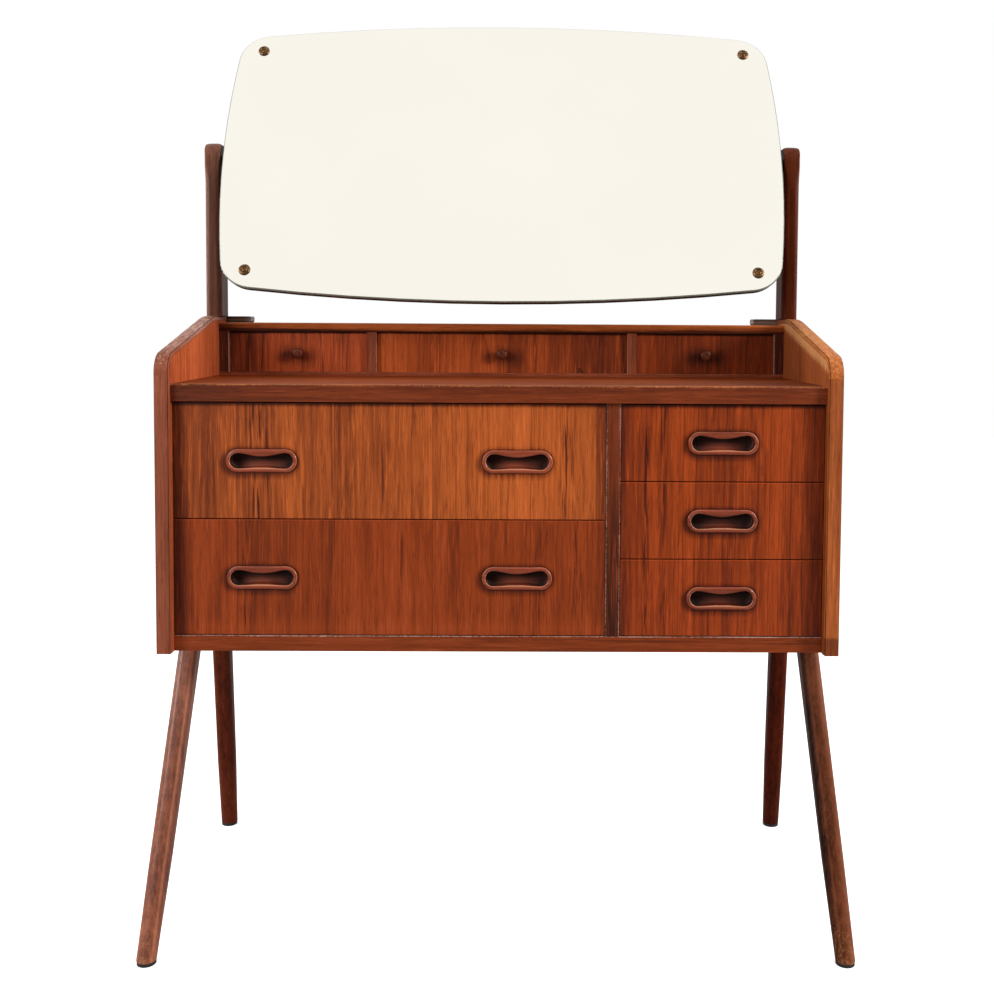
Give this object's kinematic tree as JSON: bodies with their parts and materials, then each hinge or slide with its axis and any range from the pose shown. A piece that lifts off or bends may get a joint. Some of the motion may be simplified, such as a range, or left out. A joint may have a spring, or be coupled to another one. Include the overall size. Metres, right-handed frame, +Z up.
{
  "type": "dressing table",
  "caption": "Dressing table on splayed legs with wide and narrow drawers, small knobbed drawers behind the table top and a tilting mirror between posts.",
  "frame": {"origin": "on the floor at the middle of the four feet, which is the middle of the bounding box", "axes": "+X to the right as seen from the front, +Y to the back, +Z up"},
  "size_m": [0.9876, 0.462, 1.3675],
  "materials": {
    "teak_veneer": "oiled teak veneer",
    "teak_solid": "oiled solid teak",
    "teak_dark": "darkened solid teak",
    "beech": "plain hardwood",
    "plywood": "unpolished plywood",
    "silvered_glass": "silvered behind",
    "bronze": "bronzed, aged",
    "dark_steel": "blackened steel",
    "glide_rubber": "matt black"
  },
  "bodies": {
    "case": {"side_left": "teak_veneer", "side_right": "teak_veneer", "side_edging_left": "teak_solid", "side_edging_right": "teak_solid", "table_top": "teak_veneer", "table_top_edging": "teak_dark", "bottom_board": "teak_veneer", "bottom_edging": "teak_solid", "partition": "teak_veneer", "partition_edging": "teak_dark", "back_panel": "plywood", "row_top_board": "teak_solid", "row_base_board": "teak_solid", "row_uprights": "teak_dark", "drawer_runners": "beech", "leg_front_left": "teak_solid", "leg_front_right": "teak_solid", "leg_rear_left": "teak_solid", "leg_rear_right": "teak_solid", "leg_rails": "teak_solid", "foot_glides": "glide_rubber", "post_left": "teak_dark", "post_right": "teak_dark", "post_blocks": "teak_dark", "pivot_bolts": "dark_steel", "pivot_spacers": "dark_steel"},
    "mirror": {"mirror_glass": "silvered_glass", "mirror_backing": "plywood", "mirror_battens": "teak_solid", "mirror_screws": "bronze"},
    "wide_upper_drawer": {"wide_upper_front": "teak_veneer", "wide_upper_box": "beech", "wide_upper_bottom": "plywood", "wide_upper_pulls": "teak_solid"},
    "wide_lower_drawer": {"wide_lower_front": "teak_veneer", "wide_lower_box": "beech", "wide_lower_bottom": "plywood", "wide_lower_pulls": "teak_solid"},
    "narrow_top_drawer": {"narrow_top_front": "teak_veneer", "narrow_top_box": "beech", "narrow_top_bottom": "plywood", "narrow_top_pull": "teak_solid"},
    "narrow_middle_drawer": {"narrow_middle_front": "teak_veneer", "narrow_middle_box": "beech", "narrow_middle_bottom": "plywood", "narrow_middle_pull": "teak_solid"},
    "narrow_bottom_drawer": {"narrow_bottom_front": "teak_veneer", "narrow_bottom_box": "beech", "narrow_bottom_bottom": "plywood", "narrow_bottom_pull": "teak_solid"},
    "small_left_drawer": {"small_left_front": "teak_veneer", "small_left_box": "beech", "small_left_knob": "teak_solid"},
    "small_middle_drawer": {"small_middle_front": "teak_veneer", "small_middle_box": "beech", "small_middle_knob": "teak_solid"},
    "small_right_drawer": {"small_right_front": "teak_veneer", "small_right_box": "beech", "small_right_knob": "teak_solid"}
  },
  "joints": [
    {"name": "mirror_tilt", "type": "hinge", "parent": "case", "child": "mirror", "pos_m": [0, 0.1, 1.134], "axis": [1, 0, 0], "range_deg": [-25, 25]},
    {"name": "wide_upper_slide", "type": "slide", "parent": "case", "child": "wide_upper_drawer", "axis": [0, -1, 0], "range_m": [0, 0.26]},
    {"name": "wide_lower_slide", "type": "slide", "parent": "case", "child": "wide_lower_drawer", "axis": [0, -1, 0], "range_m": [0, 0.26]},
    {"name": "narrow_top_slide", "type": "slide", "parent": "case", "child": "narrow_top_drawer", "axis": [0, -1, 0], "range_m": [0, 0.26]},
    {"name": "narrow_middle_slide", "type": "slide", "parent": "case", "child": "narrow_middle_drawer", "axis": [0, -1, 0], "range_m": [0, 0.26]},
    {"name": "narrow_bottom_slide", "type": "slide", "parent": "case", "child": "narrow_bottom_drawer", "axis": [0, -1, 0], "range_m": [0, 0.26]},
    {"name": "small_left_slide", "type": "slide", "parent": "case", "child": "small_left_drawer", "axis": [0, -1, 0], "range_m": [0, 0.08]},
    {"name": "small_middle_slide", "type": "slide", "parent": "case", "child": "small_middle_drawer", "axis": [0, -1, 0], "range_m": [0, 0.08]},
    {"name": "small_right_slide", "type": "slide", "parent": "case", "child": "small_right_drawer", "axis": [0, -1, 0], "range_m": [0, 0.08]}
  ]
}
